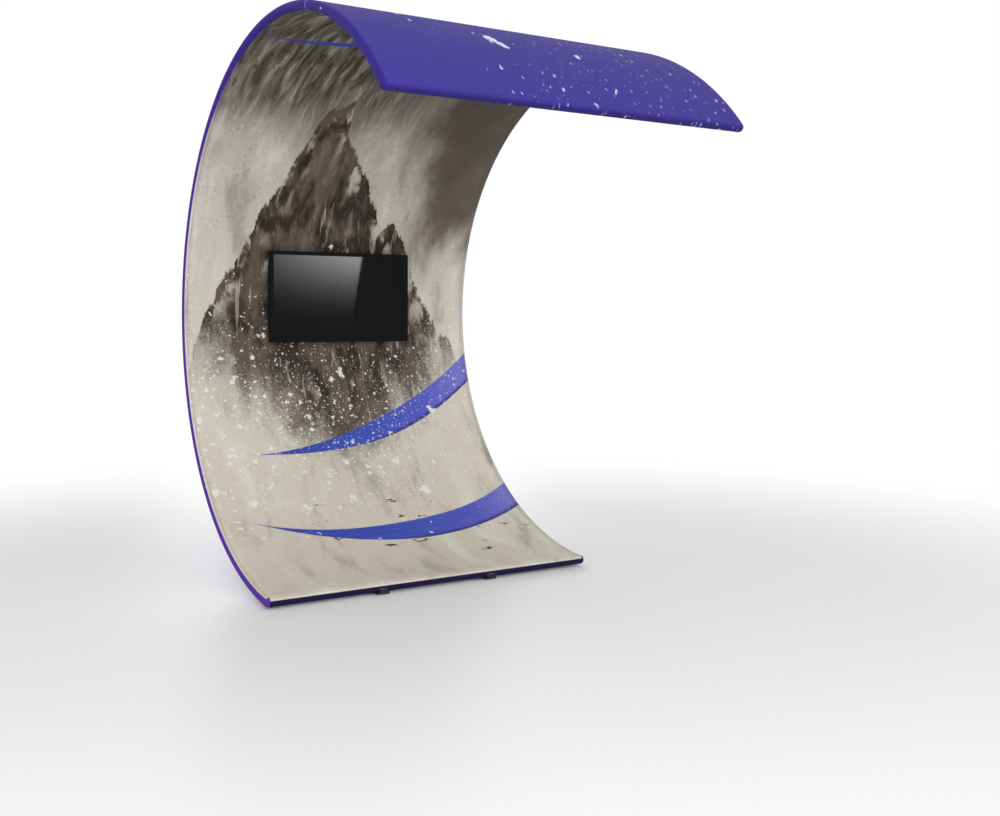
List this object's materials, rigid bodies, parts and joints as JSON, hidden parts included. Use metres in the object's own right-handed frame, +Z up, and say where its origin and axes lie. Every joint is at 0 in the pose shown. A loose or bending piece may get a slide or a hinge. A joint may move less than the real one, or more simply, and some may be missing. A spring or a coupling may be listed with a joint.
{
  "type": "display wall",
  "caption": "Free-standing C-shaped display wall: hooped tube frame in a zipped printed fabric cover, with a tilting screen hung inside the curve.",
  "frame": {"origin": "on the floor, below the centre of the wall's bounding box", "axes": "+X across the wall to a visitor's right, +Y from its open front to its back, +Z up"},
  "size_m": [1.5706, 2.0908, 2.3406],
  "materials": {
    "tube": "satin",
    "moulded_fitting": "fine grain",
    "steel": "zinc plated",
    "coated_steel": "black powder coat",
    "rubber": "matte",
    "print": "printed knit, smooth and tight",
    "cover": "printed knit, smooth and tight",
    "zip": "woven tape with a nylon chain",
    "housing": "satin black",
    "screen_front": "polished",
    "panel": "plain",
    "key": "plain"
  },
  "bodies": {
    "frame": {"left_hoop_1": "tube", "left_hoop_2": "tube", "left_hoop_3": "tube", "left_hoop_4": "tube", "right_hoop_1": "tube", "right_hoop_2": "tube", "right_hoop_3": "tube", "right_hoop_4": "tube", "base_bar_left": "tube", "base_bar_right": "tube", "rear_low_bar_left": "tube", "rear_low_bar_right": "tube", "rear_high_bar_left": "tube", "rear_high_bar_right": "tube", "crown_bar_left": "tube", "crown_bar_right": "tube", "lip_bar_left": "tube", "lip_bar_right": "tube", "corner_elbows": "moulded_fitting", "tee_fittings": "moulded_fitting", "frame_screws": "steel", "centre_mast": "tube", "mast_clamps": "moulded_fitting", "snap_springs": "steel", "leg_left": "tube", "leg_right": "tube", "leg_clamps": "moulded_fitting", "leg_grommets": "rubber", "foot_plate_left": "coated_steel", "foot_plate_right": "coated_steel", "foot_pads": "rubber", "foot_saddles": "moulded_fitting", "foot_bolts": "steel", "front_graphic": "print", "rear_cover": "cover", "zip_tape": "zip", "mount_clamps": "moulded_fitting", "mount_plate": "coated_steel", "mount_screws": "steel", "tilt_pins": "steel"},
    "left_button_1": {"left_button_1": "steel"},
    "left_button_2": {"left_button_2": "steel"},
    "left_button_3": {"left_button_3": "steel"},
    "right_button_1": {"right_button_1": "steel"},
    "right_button_2": {"right_button_2": "steel"},
    "right_button_3": {"right_button_3": "steel"},
    "base_button": {"base_button": "steel"},
    "rear_low_button": {"rear_low_button": "steel"},
    "rear_high_button": {"rear_high_button": "steel"},
    "crown_button": {"crown_button": "steel"},
    "lip_button": {"lip_button": "steel"},
    "screen": {"screen_bezel": "housing", "screen_glass": "screen_front", "screen_panel": "panel", "screen_back": "housing", "mount_arms": "coated_steel", "screen_screws": "steel"},
    "power_button": {"power_button": "key"},
    "zip_slider": {"zip_slider": "steel"},
    "zip_pull": {"zip_pull": "steel"}
  },
  "joints": [
    {"name": "left_button_1_press", "type": "slide", "parent": "frame", "child": "left_button_1", "axis": [-1, 0, 0], "range_m": [0, 0.0054], "stiffness_N_per_m": 1500, "springref_m": -0.002, "deforming": ["snap_springs"]},
    {"name": "left_button_2_press", "type": "slide", "parent": "frame", "child": "left_button_2", "axis": [-1, 0, 0], "range_m": [0, 0.0054], "stiffness_N_per_m": 1500, "springref_m": -0.002, "deforming": ["snap_springs"]},
    {"name": "left_button_3_press", "type": "slide", "parent": "frame", "child": "left_button_3", "axis": [-1, 0, 0], "range_m": [0, 0.0054], "stiffness_N_per_m": 1500, "springref_m": -0.002, "deforming": ["snap_springs"]},
    {"name": "right_button_1_press", "type": "slide", "parent": "frame", "child": "right_button_1", "axis": [1, 0, 0], "range_m": [0, 0.0054], "stiffness_N_per_m": 1500, "springref_m": -0.002, "deforming": ["snap_springs"]},
    {"name": "right_button_2_press", "type": "slide", "parent": "frame", "child": "right_button_2", "axis": [1, 0, 0], "range_m": [0, 0.0054], "stiffness_N_per_m": 1500, "springref_m": -0.002, "deforming": ["snap_springs"]},
    {"name": "right_button_3_press", "type": "slide", "parent": "frame", "child": "right_button_3", "axis": [1, 0, 0], "range_m": [0, 0.0054], "stiffness_N_per_m": 1500, "springref_m": -0.002, "deforming": ["snap_springs"]},
    {"name": "base_button_press", "type": "slide", "parent": "frame", "child": "base_button", "axis": [0, -0.9976, -0.0698], "range_m": [0, 0.0054], "stiffness_N_per_m": 1500, "springref_m": -0.002, "deforming": ["snap_springs"]},
    {"name": "rear_low_button_press", "type": "slide", "parent": "frame", "child": "rear_low_button", "axis": [0, -0.5446, -0.8387], "range_m": [0, 0.0053], "stiffness_N_per_m": 1500, "springref_m": -0.002, "deforming": ["snap_springs"]},
    {"name": "rear_high_button_press", "type": "slide", "parent": "frame", "child": "rear_high_button", "axis": [0, 0.4067, -0.9135], "range_m": [0, 0.0053], "stiffness_N_per_m": 1500, "springref_m": -0.002, "deforming": ["snap_springs"]},
    {"name": "crown_button_press", "type": "slide", "parent": "frame", "child": "crown_button", "axis": [0, 0.9877, -0.1564], "range_m": [0, 0.0053], "stiffness_N_per_m": 1500, "springref_m": -0.002, "deforming": ["snap_springs"]},
    {"name": "lip_button_press", "type": "slide", "parent": "frame", "child": "lip_button", "axis": [0, -0.6157, -0.788], "range_m": [0, 0.0054], "stiffness_N_per_m": 1500, "springref_m": -0.002, "deforming": ["snap_springs"]},
    {"name": "screen_tilt", "type": "hinge", "parent": "frame", "child": "screen", "pos_m": [0, 0.976, 1.2512], "axis": [1, 0, 0], "range_deg": [-5, 7]},
    {"name": "power_button_press", "type": "slide", "parent": "screen", "child": "power_button", "axis": [0, 0, 1], "range_m": [0, 0.001], "stiffness_N_per_m": 800, "springref_m": -0.001},
    {"name": "zip_slide", "type": "slide", "parent": "frame", "child": "zip_slider", "axis": [1, 0, 0], "range_m": [-1.448, 0]},
    {"name": "zip_pull_swing", "type": "hinge", "parent": "zip_slider", "child": "zip_pull", "pos_m": [0.724, 0.27997, 0.06906], "axis": [0, 0.9397, 0.342], "range_deg": [-75, 75]}
  ]
}
